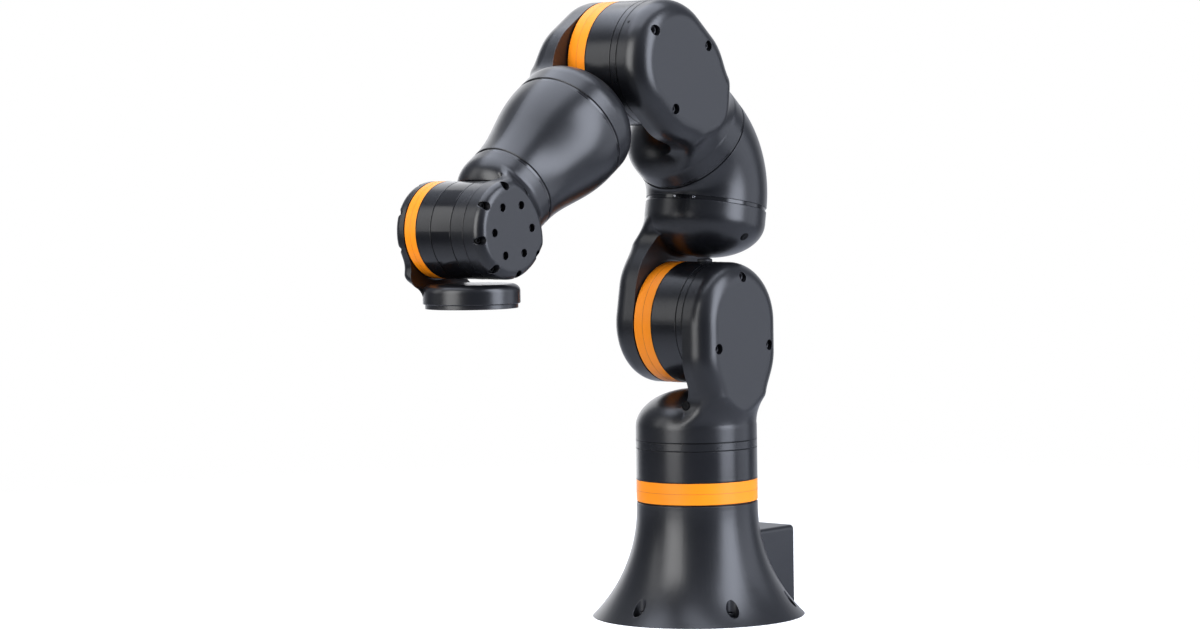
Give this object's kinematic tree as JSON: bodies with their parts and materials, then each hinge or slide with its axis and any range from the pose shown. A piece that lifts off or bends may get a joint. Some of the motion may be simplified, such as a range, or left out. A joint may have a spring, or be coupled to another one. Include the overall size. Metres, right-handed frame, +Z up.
{
  "type": "collaborative robot arm",
  "caption": "Small modular robot arm with a flared base, orange drive rings, a bent upper arm, a tapered forearm and a round tool flange.",
  "frame": {"origin": "centre of the base's bottom face, on the axis of the first joint", "axes": "+Z up along the first joint's axis, +X the way the arm reaches at rest, +Y along the axes of the three pitch joints"},
  "size_m": [0.4234, 0.184, 0.5292],
  "materials": {
    "charcoal_casting": "satin",
    "drive_housing": "satin",
    "gloss_black": "gloss",
    "black_flange": "satin",
    "black_anodised": "satin",
    "orange_ring": "satin",
    "motor_steel": "satin",
    "gear_alloy": "satin",
    "board": "satin",
    "plate_steel": "satin",
    "socket_metal": "satin",
    "connector_black": "matte"
  },
  "bodies": {
    "base": {"base_bell": "charcoal_casting", "base_plate": "plate_steel", "connector_box": "charcoal_casting", "connector_panel": "connector_black", "signal_socket_left": "socket_metal", "signal_socket_right": "socket_metal", "power_socket": "connector_black", "base_drive_output_flange": "black_anodised"},
    "shoulder": {"base_drive_bearing_ring": "orange_ring", "base_drive_housing": "drive_housing", "base_drive_rear_flange": "black_flange", "base_drive_gear_set": "gear_alloy", "base_drive_motor": "motor_steel", "base_drive_control_board": "board", "shoulder_elbow": "charcoal_casting", "shoulder_drive_bearing_ring": "orange_ring", "shoulder_drive_housing": "drive_housing", "shoulder_drive_rear_flange": "black_flange", "shoulder_drive_gear_set": "gear_alloy", "shoulder_drive_motor": "motor_steel", "shoulder_drive_control_board": "board"},
    "upper_arm": {"shoulder_drive_output_flange": "black_anodised", "upper_arm_lower_elbow": "charcoal_casting", "lower_seam_ring": "gloss_black", "upper_arm_bend": "charcoal_casting", "upper_seam_ring": "gloss_black", "upper_arm_upper_elbow": "charcoal_casting", "elbow_drive_bearing_ring": "orange_ring", "elbow_drive_housing": "drive_housing", "elbow_drive_rear_flange": "black_flange", "elbow_drive_gear_set": "gear_alloy", "elbow_drive_motor": "motor_steel", "elbow_drive_control_board": "board"},
    "forearm": {"elbow_drive_output_flange": "black_anodised", "forearm_elbow": "charcoal_casting", "forearm_seam_ring": "gloss_black", "forearm_cone": "charcoal_casting", "wrist_seam_ring": "gloss_black", "wrist_elbow": "charcoal_casting", "wrist_drive_bearing_ring": "orange_ring", "wrist_drive_housing": "drive_housing", "wrist_drive_rear_flange": "black_flange", "wrist_drive_gear_set": "gear_alloy", "wrist_drive_motor": "motor_steel", "wrist_drive_control_board": "board", "wrist_drive_motor_can": "gloss_black"},
    "tool_head": {"wrist_drive_output_flange": "black_anodised", "wrist_bracket": "charcoal_casting", "tool_flange": "black_anodised"}
  },
  "joints": [
    {"name": "base_turn", "type": "hinge", "parent": "base", "child": "shoulder", "pos_m": [0, 0, 0.0988], "axis": [0, 0, 1], "range_deg": [-179, 179]},
    {"name": "shoulder_pitch", "type": "hinge", "parent": "shoulder", "child": "upper_arm", "pos_m": [0, 0, 0.254], "axis": [0, 1, 0], "range_deg": [-100, 60]},
    {"name": "elbow_pitch", "type": "hinge", "parent": "upper_arm", "child": "forearm", "pos_m": [0.08106, 0, 0.47671], "axis": [0, 1, 0], "range_deg": [-183.7, 8.3]},
    {"name": "wrist_pitch", "type": "hinge", "parent": "forearm", "child": "tool_head", "pos_m": [0.28322, 0, 0.34188], "axis": [0, 1, 0], "range_deg": [-151.3, 38.7]}
  ]
}
